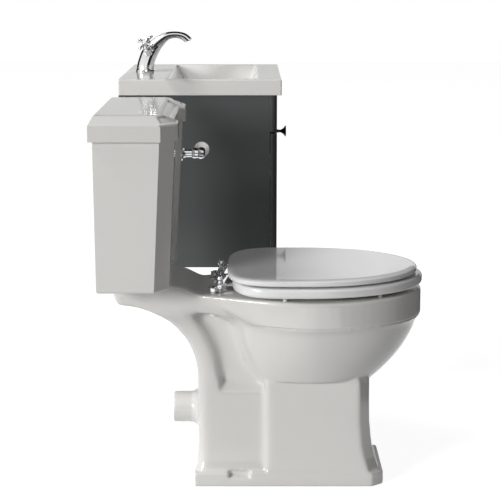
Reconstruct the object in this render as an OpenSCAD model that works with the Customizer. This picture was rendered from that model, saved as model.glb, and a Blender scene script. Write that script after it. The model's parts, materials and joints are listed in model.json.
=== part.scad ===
// Close-coupled toilet beside a wall-hung vanity cabinet with its basin and mixer.
// Sizes in millimetres. X runs along the wall, the wall is the plane y = wall_y, and z = 0 is the floor.

/* [Layout] */
// Distance between the centre lines of the toilet and the basin
spacing = 680; // [640:5:900]
// Distance from the wall to the front of the toilet seat
toilet_depth = 695; // [680:5:760]

/* [Pan] */
// Height of the rim above the floor
rim_h = 422; // [410:1:450]
// Height of the shelf that carries the cistern, above the rim
shelf_rise = 22; // [16:1:30]
// Half the width of the deck behind the seat
deck_half = 98; // [92:1:106]
// Half the greatest width of the rim
rim_half = 171; // [165:1:180]
// Depth of the flat band round the rim
band_h = 56; // [48:1:64]
// Distance from the wall to the back face of the pan
pan_rear = 208; // [200:1:220]
// Radius of the arch under the cistern
arch_r = 170; // [150:1:176]
// Thickness of the shelf at its back edge
shelf_t = 45; // [40:1:52]
// Outside diameter of the outlet spigot
spigot_d = 68; // [62:1:76]
// Wall of the outlet spigot
spigot_wall = 7; // [5:0.5:9]
// Height of the spigot's centre above the floor
spigot_h = 148; // [140:1:156]
// Distance from the wall to the end of the spigot
spigot_end = 155; // [130:1:175]
// Height of the plinth
plinth_h = 31; // [26:1:36]
// Half the width of the plinth
plinth_half = 98; // [94:1:110]
// Distance from the wall to the front of the plinth
plinth_front = 610; // [595:1:630]
// Chamfer on the front corners of the plinth
plinth_chamfer = 26; // [16:1:34]
// Diameter of the floor screw holes in the plinth
floor_hole_d = 6.5; // [5:0.5:8]

/* [Cistern] */
// Half the width of the cistern at its top
cistern_half = 213; // [205:1:222]
// Half the width of the cistern at its bottom
cistern_foot_half = 185; // [178:1:195]
// Height of the cistern body
cistern_h = 317; // [300:1:340]
// Depth of the cistern at its top, from its back to its front
cistern_depth = 163; // [158:1:170]
// Wall of the cistern
cistern_wall = 11; // [8:1:13]
// Gap between the cistern's back and the wall
cistern_gap = 8; // [5:1:12]
// How far the lid stands out past the body at each side
lid_overhang = 10; // [6:1:14]
// Depth of the lid's upright skirt
lid_skirt = 33; // [28:1:40]
// Height of the moulded bevel above the skirt
lid_bevel = 17; // [14:1:22]
// Clearance between pieces that are set loosely on each other
loose = 0.3; // [0.2:0.05:0.4]

/* [Flush] */
// Height of the flush lever's spindle above the cistern's foot
lever_rise = 244; // [235:1:256]
// Distance of the lever's spindle from the toilet's centre line
lever_x = 151; // [146:1:156]
// Diameter of the lever's spindle
spindle_d = 10; // [8:0.5:11]
// Diameter of the ceramic ball
lever_ball_d = 36; // [30:1:38]
// Reach of the lever from its spindle to the middle of the ball
lever_reach = 62; // [54:1:72]
// Length of the crank inside the cistern
crank_l = 93; // [88:1:96]
// Diameter of the lift rod
rod_d = 6; // [5:0.5:7]
// Outside diameter of the siphon's chamber
chamber_d = 72; // [66:1:76]
// Outside diameter of the siphon's threaded tail
tail_d = 50; // [46:1:54]
// Diameter of the fill valve's threaded tail
inlet_d = 20; // [18:0.5:21]
// Diameter of the coupling bolts
bolt_d = 8; // [6:0.5:9]

/* [Seat] */
// Half the width of the seat ring
seat_half = 175; // [168:1:182]
// Thickness of the seat ring
ring_t = 21; // [17:1:23]
// Height of the buffers under the seat ring
buffer_h = 10; // [8.5:0.5:12]
// Thickness of the seat lid
seat_lid_t = 13; // [11:1:16]
// Gap between the seat ring and the lid
lid_gap = 4.5; // [4.5:0.5:6]
// Distance from the wall to the hinge bar
hinge_y = 258; // [255:1:261]
// Height of the hinge bar above the rim
hinge_rise = 15; // [14:0.5:17]
// Diameter of the hinge bar
bar_d = 8; // [6:0.5:9]
// Distance of each hinge post from the centre line
post_x = 75; // [74:1:78]
// Running clearance round turning pieces
running = 0.3; // [0.2:0.05:0.4]

/* [Basin] */
// Width of the basin
basin_w = 500; // [480:5:560]
// Depth of the basin from the wall
basin_depth = 400; // [398:1:420]
// Height of the basin's top above the floor
basin_top = 832; // [800:1:860]
// Height of the basin's upright edge
basin_edge = 39; // [34:1:46]
// Depth of the bowl below the basin's top
bowl_depth = 108; // [95:1:118]
// Width of the ledge behind the bowl
ledge = 119; // [112:1:124]
// Width of the rim in front of the bowl
front_rim = 58; // [52:1:64]
// Width of the rim at each side of the bowl
side_rim = 24; // [18:1:40]
// Wall of the basin
basin_wall = 12; // [9:1:13]

/* [Mixer] */
// Distance from the wall to the middle of the mixer
tap_y = 48; // [44:1:54]
// Diameter of the mixer's base ring
tap_base_d = 51; // [48:1:56]
// Diameter of the mixer's threaded tail
tap_tail_d = 32; // [28:1:33]
// Length of a crosshead arm from the middle to its ball end
cross_reach = 22; // [19:1:24]
// Diameter of a crosshead arm
cross_arm_d = 5; // [4:0.5:6]

/* [Cabinet] */
// Width of the cabinet
cabinet_w = 490; // [470:1:495]
// Height of the cabinet
cabinet_h = 431; // [400:1:470]
// Distance from the wall to the front of the door
cabinet_front = 389; // [380:1:395]
// Thickness of the cabinet's boards
board_t = 16; // [15:0.5:18]
// Thickness of the door
door_t = 16; // [15:0.5:18]
// Gap between the door and the cabinet behind it
door_gap = 1.5; // [1:0.25:2]
// Height of the fixed fascia above the door
fascia_h = 91; // [80:1:105]
// Gap between the fascia and the door
fascia_gap = 4; // [3:0.5:6]
// Width of the door's frame
stile_w = 62; // [56:1:75]
// Diameter of the knob's disc
knob_d = 31; // [26:1:36]
// How far the knob stands out from the door
knob_out = 34; // [28:1:40]
// Diameter of the hinge cups in the door
cup_d = 35; // [33:1:36]
// Diameter of the wall fixing holes
wall_hole_d = 7; // [5:0.5:8]
// Diameter of the hole for the basin waste
waste_hole_d = 46; // [45:1:50]
// Outside diameter of the waste's tail, which the trap screws onto
waste_tail_d = 42; // [41:0.5:42]

/* [Hidden] */
$fn = 48;

// Places shared by both units
lid_half = cistern_half + lid_overhang;
overall_w = lid_half + spacing + basin_w / 2;
toilet_x = lid_half - overall_w / 2;
vanity_x = toilet_x + spacing;
wall_y = toilet_depth / 2;

// Pan
shelf_h = rim_h + shelf_rise;
shelf_rear = 25;
rim_setback = 1.5;
rim_front = toilet_depth - rim_setback;
rim_wide = 455;
arch_y = pan_rear + 2 - arch_r;
arch_z = shelf_h - shelf_t - arch_r;
slope_top = 165;
slope_foot = 222;
neck_half = deck_half - 16;
web_half = neck_half - 20;
pedestal_half = plinth_half - 3;
pedestal_front = plinth_front - 30;
pedestal_rear = 354;
bowl_rear = 284;
bowl_core = 440;
border = 48;
coupling_y = 85;
coupling_x = 62;
inlet_recess_d = 96;
inlet_recess_h = 30;
nut_pocket_d = 36;
nut_pocket_top = shelf_h - inlet_recess_h - 6;
hinge_stud_y = hinge_y - 13;
hinge_hole_d = 14;
deck_t = 34;
floor_hole_y = 300;
floor_pocket_h = 20;

// Cistern
cistern_foot = shelf_h + 2;
cistern_top = cistern_foot + cistern_h;
cistern_rear = cistern_gap;
foot_taper = 16;
ear_w = 52;
ear_recess = 11;
corner_cut = 28;
lid_rear = 0;
lever_z = cistern_foot + lever_rise;
lever_ear = cistern_gap + cistern_depth - foot_taper * (cistern_h - lever_rise - 19) / cistern_h;
rod_x = lever_x - crank_l;
inlet_x = 128;
collar_d = 16;
collar_out = sqrt(pow(lever_ball_d / 2, 2) - pow(collar_d / 2, 2));
floor_t = 12;
cistern_floor = cistern_foot + floor_t;
siphon_top = cistern_foot + 172;
siphon_nut_h = 14;

// Seat
hinge_z = rim_h + hinge_rise;
ring_z = rim_h + buffer_h;
seat_lid_z = ring_z + ring_t + lid_gap;
seat_wide = hinge_y + 184;
seat_rear = hinge_y + 22;
lid_back = hinge_y + 14;
buffer_places = [[seat_half - 25, seat_wide - 47], [seat_half - 63, toilet_depth - 100]];
stud_d = 5;
hinge_nut_d = 18;
arm_t = 3;

// Vanity
basin_foot = basin_top - basin_edge;
cabinet_z = basin_foot - cabinet_h;
carcass = cabinet_front - door_t - door_gap;
door_top = basin_foot - fascia_h - fascia_gap;
door_z = cabinet_z + 1;
door_w = cabinet_w;
bowl_y = ledge + (basin_depth - ledge - front_rim) / 2;
bowl_floor = basin_top - bowl_depth;
waste_y = bowl_y + 9;
waste_bore = 34;
cup_in = 22.5;
cup_end = 80;
inner_half = cabinet_w / 2 - board_t;
rail_y = 20;
shank_below = 12;
socket_l = 28;
socket_bore = 10;
hanger_x = inner_half - 34;
hanger_z = basin_foot - 60;

// A point on a cubic curve
function bezier(a, b, c, d, t) =
    pow(1 - t, 3) * a + 3 * pow(1 - t, 2) * t * b + 3 * (1 - t) * t * t * c + t * t * t * d;
// A signed power, for oval outlines
function spow(v, n) = sign(v) * pow(abs(v), n);
function mirrored(half) = concat(half, [for (i = [len(half) - 1:-1:0]) [-half[i][0], half[i][1]]]);
function lifted(points, z) = [for (p = points) [p[0], p[1], z]];
// A rectangle with rounded corners, counter-clockwise from its front
function round_rect(half, y0, y1, r, k = 4) = mirrored(concat(
    [for (i = [0:k]) [half - r + r * cos(i * 90 / k - 90), y0 + r + r * sin(i * 90 / k - 90)]],
    [for (i = [0:k]) [half - r + r * cos(i * 90 / k), y1 - r + r * sin(i * 90 / k)]]));

// Skins a stack of outlines into one closed solid. Each outline has the same even count of points, in mirrored
// pairs, so its ends close with level strips, or with three faces where the outline has an ear at each side
module skin(rings, eared = false) {
    n = len(rings[0]);
    m = len(rings);
    top = (m - 1) * n;
    half = n / 2;
    ends = eared ? [[0, 1, 2, 3, 4], [0, 4, 5, 9], [9, 5, 6, 7, 8]]
        : [for (i = [0:half - 2]) [i, i + 1, n - 2 - i, n - 1 - i]];
    polyhedron(
        points = [for (r = rings) each r],
        faces = concat(
            ends,
            [for (j = [0:m - 2], i = [0:n - 1]) [j * n + i, (j + 1) * n + i, (j + 1) * n + (i + 1) % n]],
            [for (j = [0:m - 2], i = [0:n - 1]) [j * n + i, (j + 1) * n + (i + 1) % n, j * n + (i + 1) % n]],
            [for (f = ends) [for (k = [len(f) - 1:-1:0]) top + f[k]]]));
}

module at_toilet() { translate([toilet_x, wall_y, 0]) children(); }
module at_vanity() { translate([vanity_x, wall_y, 0]) children(); }
// Draws an outline of y and z as a slab of the given width across x
module side_slab(half) { rotate([90, 0, 90]) translate([0, 0, -half]) linear_extrude(2 * half) children(); }
module tube(d, bore, h) {
    difference() {
        cylinder(d = d, h = h);
        translate([0, 0, -1]) cylinder(d = bore, h = h + 2);
    }
}
module hex_nut(across, bore, h) {
    difference() {
        cylinder(d = across / cos(30), h = h, $fn = 6);
        translate([0, 0, -1]) cylinder(d = bore, h = h + 2, $fn = 48);
    }
}

// Outline of the rim or bowl: a half oval in front, and a curve at each side back to the tail.
// tuck sets how squarely the curve turns in to the tail.
function rim_plan(half, front, tail_half, tail, tuck = 0.5, pull = 0.44) = mirrored(concat(
    [for (i = [0:15]) let(a = 90 - (i + 0.5) * 90 / 16)
        [half * pow(cos(a), 2 / 1.9), -rim_wide - (front - rim_wide) * pow(sin(a), 2 / 1.9)]],
    [for (i = [0:10]) let(t = i / 10) [
        bezier(half, half, tail_half + (half - tail_half) * tuck, tail_half, t),
        -bezier(rim_wide, rim_wide - 52, tail + (rim_wide - tail) * pull, tail, t)]]));
// One level of the bowl's outside: t runs from the band down to the pedestal
function bowl_level(t) = lifted(rim_plan(
        bezier(rim_half - 10, rim_half - 20, rim_half - 38, pedestal_half - 6, t),
        bezier(rim_front - 10, rim_front - 26, rim_front - 64, pedestal_front - 6, t),
        web_half - 4,
        bowl_rear + bezier(0, 14, 24, 72, t), 0.62, 0.06),
    bezier(rim_h - band_h - 14, rim_h - 124, rim_h - 168, rim_h - 214, t));
module bowl_outside() {
    skin([for (i = [8:-1:0]) bowl_level(i / 8),
        lifted(rim_plan(rim_half, rim_front, web_half - 4, bowl_rear, 0.62, 0.06), rim_h - band_h),
        lifted(rim_plan(rim_half, rim_front, web_half - 4, bowl_rear, 0.62, 0.06), rim_h - band_h + 8)]);
}
// The band's lower edge is level round the bowl and sweeps up behind it to the deck
function band_foot(d) = let(u = min(1, max(0, (rim_wide - 124 - d) / 116)))
    min(rim_h - 4, rim_h - band_h * (1 - (3 * u * u - 2 * u * u * u + pow(u, 1.35)) / 2));
function band_level(inset, f) = [
    for (p = rim_plan(rim_half - inset, rim_front - inset, deck_half - inset, slope_foot - 6))
    [p[0], p[1], band_foot(-p[1]) + (rim_h - band_foot(-p[1])) * f]];
module rim_band() { skin([band_level(1.2, 0), band_level(0, 0.05), band_level(0, 0.94), band_level(2, 1)]); }

// How far the foot of the pan spreads at a height
function flare(z) = z < plinth_h + 44 ? pow((plinth_h + 44 - z) / 49, 2) : 0;
// Back edge of the neck at a height: upright, then the arch, then the shelf's end
function neck_rear(z) = z < arch_z ? pan_rear + 2 - 8 * flare(z) : z < arch_z + arch_r
    ? arch_y + sqrt(arch_r * arch_r - pow(z - arch_z, 2)) : arch_y - (z - arch_z - arch_r) / shelf_t * 13;
function neck_side(z) = z < rim_h - 74 ? neck_half + 11 * flare(z) : z < rim_h - 36
    ? neck_half + (deck_half - neck_half) * (1 - cos((z - rim_h + 74) / 38 * 180)) / 2 : deck_half;
function neck_level(z, front, r) = lifted(round_rect(neck_side(z), -front, -neck_rear(z), r), z);
module neck() {
    skin(concat(
        [for (z = [plinth_h - 5, plinth_h + 6, plinth_h + 20, plinth_h + 44, arch_z]) neck_level(z, bowl_core, 22)],
        [for (i = [1:12]) neck_level(arch_z + arch_r * sin(i * 7.5 - 1), bowl_core, 22 - i * 0.8)],
        [neck_level(shelf_h - shelf_t + 8, bowl_core, 12), neck_level(rim_h - 1.5, bowl_core, 12)],
        [for (i = [0:8]) neck_level(
            bezier(rim_h - 1, rim_h + 2, shelf_h - 3, shelf_h - 2, i / 8),
            bezier(slope_foot + 4, slope_foot - 20, slope_top + 26, slope_top, i / 8), 12)],
        [lifted(round_rect(deck_half - 2, -slope_top + 12, -shelf_rear - 2, 12), shelf_h)]));
}
// Hollow in each side of the neck: it leaves a raised border along the arch and a sloped top on the trap below
module neck_hollows() {
    reach = arch_r + border;
    trap_top = arch_z - 8;
    for (s = [-1, 1]) intersection() {
        translate([s * (web_half + 30), 0, 0]) side_slab(30) polygon(concat(
            [for (i = [0:8]) let(a = 46 + i * 5.5) [-arch_y - reach * sin(a), arch_z + reach * cos(a)]],
            [[-arch_y - reach - 2, trap_top - 30], [-bowl_core, trap_top - 30], [-bowl_core, rim_h - 70],
                [-arch_y - 250, rim_h - 64], [-arch_y - 222, rim_h - 54], [-arch_y - 188, rim_h - 44],
                [-arch_y - 168, rim_h - 41]]));
        rotate([90, 0, 0]) linear_extrude(bowl_core) polygon([
            [s * web_half, trap_top], [s * (web_half + 8), trap_top - 3], [s * (web_half + 20), trap_top - 15],
            [s * (web_half + 60), trap_top - 90], [s * (web_half + 60), shelf_h], [s * (web_half + 6), shelf_h],
            [s * web_half, arch_z + arch_r]]);
    }
}

function pedestal_plan(half, front, cut) = mirrored([
    [half - cut, -front], [half, -front + cut], [half, -pedestal_rear - 7], [half - 3, -pedestal_rear - 2],
    [half - 9, -pedestal_rear]]);
module pedestal() {
    skin([
        lifted(pedestal_plan(plinth_half - 2, plinth_front - 6, plinth_chamfer - 2), plinth_h - 2),
        lifted(pedestal_plan(plinth_half - 3, plinth_front - 10, plinth_chamfer - 2), plinth_h + 3),
        lifted(pedestal_plan(pedestal_half, pedestal_front + 12, plinth_chamfer - 2), plinth_h + 26),
        lifted(pedestal_plan(pedestal_half, pedestal_front + 5, plinth_chamfer - 2), plinth_h + 56),
        lifted(pedestal_plan(pedestal_half, pedestal_front, plinth_chamfer - 2), plinth_h + 110),
        lifted(pedestal_plan(pedestal_half, pedestal_front - 1, plinth_chamfer - 2), rim_h - 192),
        lifted(pedestal_plan(pedestal_half - 14, pedestal_front - 12, plinth_chamfer - 2), rim_h - 160)]);
}
module plinth() {
    linear_extrude(plinth_h) polygon([
        [plinth_half - plinth_chamfer, -plinth_front], [plinth_half, -plinth_front + plinth_chamfer],
        [plinth_half, -pan_rear + 5], [-plinth_half, -pan_rear + 5],
        [-plinth_half, -plinth_front + plinth_chamfer], [-plinth_half + plinth_chamfer, -plinth_front]]);
}

// The pan stands on its walls: the foot is open below, up to the water way
module foot_hollow() {
    wall = 15;
    top = spigot_h - spigot_d / 2 - 6;
    skin([
        lifted(round_rect(plinth_half - wall, -plinth_front + wall + 8, -pan_rear - wall, 20), -1),
        lifted(round_rect(plinth_half - wall, -plinth_front + wall + 8, -pan_rear - wall, 20), plinth_h - 10),
        lifted(round_rect(neck_half - wall, -pedestal_front + wall, -pan_rear - wall, 16), plinth_h + 44),
        lifted(round_rect(neck_half - wall, -pedestal_front + wall, -pan_rear - wall, 16), top - 8),
        lifted(round_rect(neck_half - wall - 8, -pedestal_front + wall + 8, -pan_rear - wall - 8, 12), top)]);
}

// One level of the bowl's inside
function bowl_inside(half, front, rear, z) = [
    for (i = [0:31]) let(a = (i + 0.5) * 360 / 32 - 90, c = (front + rear) / 2 - 10)
    [half * cos(a), -c + (sin(a) > 0 ? c - rear : front - c) * sin(a), z]];
module bowl_hollow() {
    skin([
        bowl_inside(38, 470, 388, spigot_h - 16),
        bowl_inside(44, 478, 380, spigot_h + 2),
        bowl_inside(62, 525, 362, rim_h - 200),
        bowl_inside(88, 580, 350, rim_h - 168),
        bowl_inside(116, 636, 336, rim_h - 118),
        bowl_inside(rim_half - 32, rim_front - 28, 322, rim_h - 62),
        bowl_inside(rim_half - 30, rim_front - 28, 322, rim_h - 30),
        bowl_inside(rim_half - 48, rim_front - 48, 338, rim_h - 22),
        bowl_inside(rim_half - 46, rim_front - 46, 336, rim_h - 6),
        bowl_inside(rim_half - 42, rim_front - 42, 332, rim_h + 1)]);
}
// A bore between two points of the plane x = 0
module bore_between(a, b, d) {
    rise = b[1] - a[1];
    run = b[0] - a[0];
    translate([0, a[0], a[1]]) rotate([-atan2(run, rise), 0, 0]) cylinder(d = d, h = norm([run, rise]));
}
// The water way: out of the sump, over the weir and down to the spigot
module trapway() {
    bore = spigot_d - 2 * spigot_wall;
    sump = [-425, spigot_h + 14];
    weir = [-300, spigot_h + 78];
    turn = [-pan_rear - 36, spigot_h];
    bore_between(sump, weir, bore);
    bore_between(weir, turn, bore - 1);
    for (p = [weir, turn]) translate([0, p[0], p[1]]) sphere(d = bore + 1);
    translate([0, -pan_rear - 36, spigot_h]) rotate([-90, 0, 0]) cylinder(d = bore, h = pan_rear + 37 - spigot_end);
}

module pan() {
    color("whitesmoke") at_toilet() difference() {
        union() {
            rim_band();
            bowl_outside();
            difference() {
                neck();
                neck_hollows();
            }
            pedestal();
            plinth();
            translate([0, -pan_rear - 12, spigot_h]) rotate([-90, 0, 0]) {
                cylinder(d = spigot_d, h = pan_rear + 12 - spigot_end);
                cylinder(d1 = spigot_d + 26, d2 = spigot_d + 1, h = 23);
            }
        }
        bowl_hollow();
        trapway();
        foot_hollow();
        translate([0, -coupling_y, shelf_h - inlet_recess_h]) cylinder(d = inlet_recess_d, h = inlet_recess_h + 1);
        bore_between([-coupling_y - 20, shelf_h - 28], [-345, rim_h - 38], 30);
        for (s = [-1, 1]) {
            translate([s * coupling_x, -coupling_y, rim_h - 80]) cylinder(d = bolt_d + 5, h = shelf_rise + 90);
            translate([s * coupling_x, -coupling_y, nut_pocket_top - 40]) cylinder(d = nut_pocket_d, h = 40);
            translate([s * post_x, -hinge_stud_y, rim_h - deck_t - 1]) cylinder(d = hinge_hole_d, h = deck_t + 2);
            translate([s * post_x, -hinge_stud_y, rim_h - 70]) cylinder(d = hinge_nut_d + 2, h = 70 - deck_t);
            translate([s * (plinth_half - 8), -floor_hole_y, -1]) cylinder(d = floor_hole_d, h = plinth_h + 10);
            translate([s * (plinth_half - 6) - 8, -floor_hole_y - 23, floor_pocket_h])
                cube([16, 46, plinth_h - floor_pocket_h + 3]);
        }
    }
}

// Outline of the cistern and of its lid: flat back, cut front corners, an ear at each side of a recessed front
function cistern_plan(half, rear, front, cut, ear_in, recess) = mirrored([
    [ear_in - 4, -front + recess], [ear_in, -front], [half - cut, -front], [half, -front + cut], [half, -rear]]);
function cistern_level(t, inset, z) = cistern_plan(
    cistern_foot_half + (cistern_half - cistern_foot_half) * t - inset,
    cistern_rear + inset,
    cistern_rear + cistern_depth - foot_taper * (1 - t) - inset,
    corner_cut + 4 * (1 - t) - inset * 0.4,
    cistern_foot_half + (cistern_half - cistern_foot_half) * t - corner_cut - ear_w + inset * (inset > 0 ? 0 : 1),
    ear_recess);
module cistern() {
    color("whitesmoke") at_toilet() difference() {
        skin([
            lifted(cistern_level(0, 7, 0), cistern_foot),
            lifted(cistern_level(0, 2, 0), cistern_foot + 3),
            lifted(cistern_level(0.03, 0, 0), cistern_foot + 9),
            lifted(cistern_level(1, 0, 0), cistern_top)], true);
        skin([
            lifted(cistern_level(0.04, cistern_wall + 4, 0), cistern_floor),
            lifted(cistern_level(0.06, cistern_wall, 0), cistern_floor + 8),
            lifted(cistern_level(1, cistern_wall, 0), cistern_top + 1)], true);
        translate([0, -coupling_y, cistern_foot - 1]) cylinder(d = tail_d + 4, h = floor_t + 2);
        translate([inlet_x, -coupling_y, cistern_foot - 1]) cylinder(d = inlet_d + 3, h = floor_t + 2);
        for (s = [-1, 1]) translate([s * coupling_x, -coupling_y, cistern_foot - 1])
            cylinder(d = bolt_d + 2, h = floor_t + 2);
        translate([lever_x, -lever_ear + cistern_wall + 8, lever_z]) rotate([90, 0, 0])
            cylinder(d = spindle_d + 7, h = cistern_wall + 20);
    }
}

function lid_level(inset, z) = lifted(cistern_plan(
    lid_half - inset, lid_rear + inset * 0.24, cistern_rear + cistern_depth + 7 - inset * 0.8,
    corner_cut + 5 - inset * 0.35, lid_half - corner_cut - 5 - ear_w - inset * 0.3, ear_recess), z);
module cistern_lid() {
    seat = cistern_top + loose;
    top = seat + lid_skirt;
    color("whitesmoke") at_toilet() difference() {
        skin([
            lid_level(1.5, seat), lid_level(0, seat + 2), lid_level(0, top - 2), lid_level(2, top + 1),
            lid_level(12, top + lid_bevel * 0.35), lid_level(15, top + lid_bevel * 0.5),
            lid_level(27, top + lid_bevel * 0.68), lid_level(29, top + lid_bevel * 0.8),
            lid_level(36, top + lid_bevel)], true);
        skin([
            lifted(cistern_level(1, cistern_wall - 1, 0), seat - 1),
            lifted(cistern_level(1, cistern_wall + 3, 0), top + 2)], true);
    }
}

module coupling_washer() {
    color("dimgray") at_toilet() translate([0, -coupling_y, shelf_h - inlet_recess_h + loose])
        tube(inlet_recess_d - 8, tail_d + 1, inlet_recess_h + cistern_foot - shelf_h - siphon_nut_h - 3 * loose);
}
module coupling_bolts() {
    color("goldenrod") at_toilet() for (s = [-1, 1]) translate([s * coupling_x, -coupling_y, 0]) {
        translate([0, 0, cistern_floor + 3 + loose]) cylinder(d = 20, h = 5);
        translate([0, 0, nut_pocket_top - 18]) cylinder(d = bolt_d, h = cistern_floor + 22 - nut_pocket_top);
    }
}
// Rubber cushions: one under each bolt head and one between the cistern and the shelf
module coupling_cushions() {
    color("dimgray") at_toilet() for (s = [-1, 1]) translate([s * coupling_x, -coupling_y, 0]) {
        translate([0, 0, cistern_floor]) tube(24, bolt_d + 0.4, 3);
        translate([0, 0, shelf_h]) tube(34, bolt_d + 0.4, cistern_foot - shelf_h);
    }
}
module coupling_nuts() {
    color("goldenrod") at_toilet() for (s = [-1, 1]) translate([s * coupling_x, -coupling_y, nut_pocket_top - 10]) {
        tube(16, bolt_d + 0.2, 10 - loose);
        for (a = [-1, 1]) translate([a * 10.5, 0, -1.5]) rotate([90, 0, 0]) translate([0, 0, -1.5]) cylinder(d = 10, h = 3);
    }
}

// Lever siphon: chamber with its plate, crossover at the top, and the leg that goes down through the floor
module siphon_housing() {
    leg = tail_d - 2;
    color("gainsboro") at_toilet() translate([0, -coupling_y, 0]) difference() {
        union() {
            translate([rod_x, 0, cistern_floor + 14]) cylinder(d = chamber_d, h = siphon_top - cistern_floor - 54);
            translate([0, 0, cistern_floor]) cylinder(d = tail_d + 14, h = 4);
            translate([0, 0, shelf_h - 20]) cylinder(d = tail_d, h = cistern_floor - shelf_h + 21);
            translate([0, 0, cistern_floor + 4]) cylinder(d = leg, h = siphon_top - cistern_floor - 44);
            translate([0, 0, siphon_top - 41]) linear_extrude(41) {
                circle(d = leg);
                translate([rod_x, 0]) circle(d = chamber_d);
                translate([0, -leg / 2]) square([rod_x, leg]);
            }
        }
        translate([rod_x, 0, cistern_floor]) cylinder(d = chamber_d - 6, h = siphon_top - cistern_floor - 36);
        translate([0, 0, shelf_h - 21]) cylinder(d = leg - 6, h = siphon_top - shelf_h - 15);
        translate([0, 0, siphon_top - 36]) linear_extrude(33) {
            circle(d = leg - 6);
            translate([rod_x, 0]) circle(d = chamber_d - 6.4);
            translate([0, 3 - leg / 2]) square([rod_x, leg - 6]);
        }
        translate([rod_x, 0, siphon_top - 5]) cylinder(d = rod_d + 1, h = 10);
    }
}
module siphon_nut() {
    color("gainsboro") at_toilet() translate([0, -coupling_y, cistern_foot - siphon_nut_h - loose])
        hex_nut(tail_d + 22, tail_d + 0.4, siphon_nut_h);
}
module siphon_piston() {
    color("lightsteelblue") at_toilet() translate([rod_x, -coupling_y, 0]) {
        translate([0, 0, cistern_floor + 20]) cylinder(d = chamber_d - 7, h = 5);
        translate([0, 0, cistern_floor + 24]) cylinder(d = rod_d, h = lever_z - cistern_floor - 18);
        translate([0, 0, lever_z + 5.6]) cylinder(d = 15, h = 4);
    }
}

module fill_valve() {
    color("gainsboro") at_toilet() translate([inlet_x, -coupling_y, 0]) {
        translate([0, 0, cistern_foot - 45]) tube(inlet_d, inlet_d - 8, 34);
        translate([0, 0, cistern_foot - 11]) tube(inlet_d + 1, inlet_d - 8, 11 + floor_t + 1);
        translate([0, 0, cistern_floor]) cylinder(d = inlet_d + 14, h = 5);
        translate([0, 0, cistern_floor + 4]) cylinder(d = inlet_d + 2, h = 138);
        translate([0, 0, cistern_floor + 140]) cylinder(d = 36, h = 34);
        translate([0, 0, cistern_floor + 173]) cylinder(d1 = 36, d2 = 26, h = 8);
    }
}
module fill_valve_nut() {
    color("gainsboro") at_toilet() translate([inlet_x, -coupling_y, cistern_foot - 10 - loose])
        hex_nut(inlet_d + 10, inlet_d + 1.4, 10);
}
module fill_float() {
    color("royalblue") at_toilet() translate([inlet_x, -coupling_y, cistern_floor + 5 + loose])
        tube(52, inlet_d + 3, 62);
}

// The lever turns about a level axis square to the wall
module along_lever(out) { translate([lever_x, -lever_ear - out, lever_z]) rotate([90, 0, 0]) children(); }
module lever_rosette() {
    color("silver") at_toilet() difference() {
        union() {
            along_lever(0) rotate_extrude() polygon([
                [0, 0], [18.5, 0], [18.5, 1.6], [16.5, 3], [13.5, 4.4], [11.4, 6.6], [10.2, 9.4], [10, 11], [0, 11]]);
            along_lever(-cistern_wall - 14) cylinder(d = spindle_d + 6, h = cistern_wall + 15);
        }
        along_lever(-cistern_wall - 20) cylinder(d = spindle_d + 2 * running, h = cistern_wall + 40);
    }
}
module lever_nut() {
    color("gainsboro") at_toilet() along_lever(-cistern_wall - 11) hex_nut(spindle_d + 18, spindle_d + 6.4, 8);
}
module flush_lever() {
    rear = lever_ear - coupling_y + 6;
    color("silver") at_toilet() {
        along_lever(-rear) cylinder(d = spindle_d, h = rear + 26);
        along_lever(11 + running) rotate_extrude() polygon([
            [0, 0], [9.5, 0], [9.5, 12], [12, 13.5], [12.6, 19], [11.5, 26], [13.4, 29], [14, 33], [12.2, 38],
            [8, 41], [0, 42]]);
        along_lever(44) rotate([0, 90, 0]) {
            translate([0, 0, 8]) cylinder(d1 = 13, d2 = 9, h = lever_reach - collar_out - 12);
            translate([0, 0, lever_reach - collar_out - 5]) cylinder(d = collar_d, h = 5 - loose / 2);
            translate([0, 0, lever_reach - collar_out - 1]) cylinder(d = 8.6, h = collar_out - 3);
        }
    }
}
module lever_ball() {
    color("white") at_toilet() along_lever(44) rotate([0, 90, 0]) rotate_extrude() difference() {
        translate([0, lever_reach]) circle(d = lever_ball_d);
        translate([-lever_reach, 0]) square([lever_reach, 2 * lever_reach]);
        square([lever_ball_d, lever_reach - collar_out]);
        square([4.5, lever_reach - 3]);
    }
}
// Fork that straddles the lift rod under its cap
module lever_crank() {
    color("gainsboro") at_toilet() translate([lever_x, -coupling_y, lever_z]) rotate([90, 0, 0]) difference() {
        union() {
            translate([0, 0, -10]) cylinder(d = spindle_d + 12, h = 16 - 6);
            translate([-crank_l - 12, -3, -10]) cube([crank_l + 6, 6, 20]);
        }
        translate([0, 0, -12]) cylinder(d = spindle_d + 0.2, h = 24);
        translate([-crank_l - 13, -5, -4]) cube([22, 10, 8]);
        translate([-16, -5, 0.2]) cube([40, 10, 12]);
    }
}

module hinge_bushes() {
    color("white") at_toilet() for (s = [-1, 1]) translate([s * post_x, -hinge_stud_y, 0]) difference() {
        union() {
            translate([0, 0, rim_h - deck_t + 4]) cylinder(d = hinge_hole_d - 0.6, h = deck_t - 5);
            translate([0, 0, rim_h - 1]) cylinder(d = 9, h = hinge_rise - 10 + 1);
        }
        translate([0, 0, rim_h - deck_t]) cylinder(d = stud_d + 0.4, h = deck_t + 20);
    }
}
module hinge_studs() {
    color("silver") at_toilet() for (s = [-1, 1]) translate([s * post_x, -hinge_stud_y, rim_h - deck_t - 17])
        cylinder(d = stud_d, h = deck_t + 17 + hinge_rise - 6);
}
module hinge_nuts() {
    color("gainsboro") at_toilet() for (s = [-1, 1]) translate([s * post_x, -hinge_stud_y, rim_h - deck_t - 14 - loose])
        tube(hinge_nut_d, stud_d + 0.4, 14);
}
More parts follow.
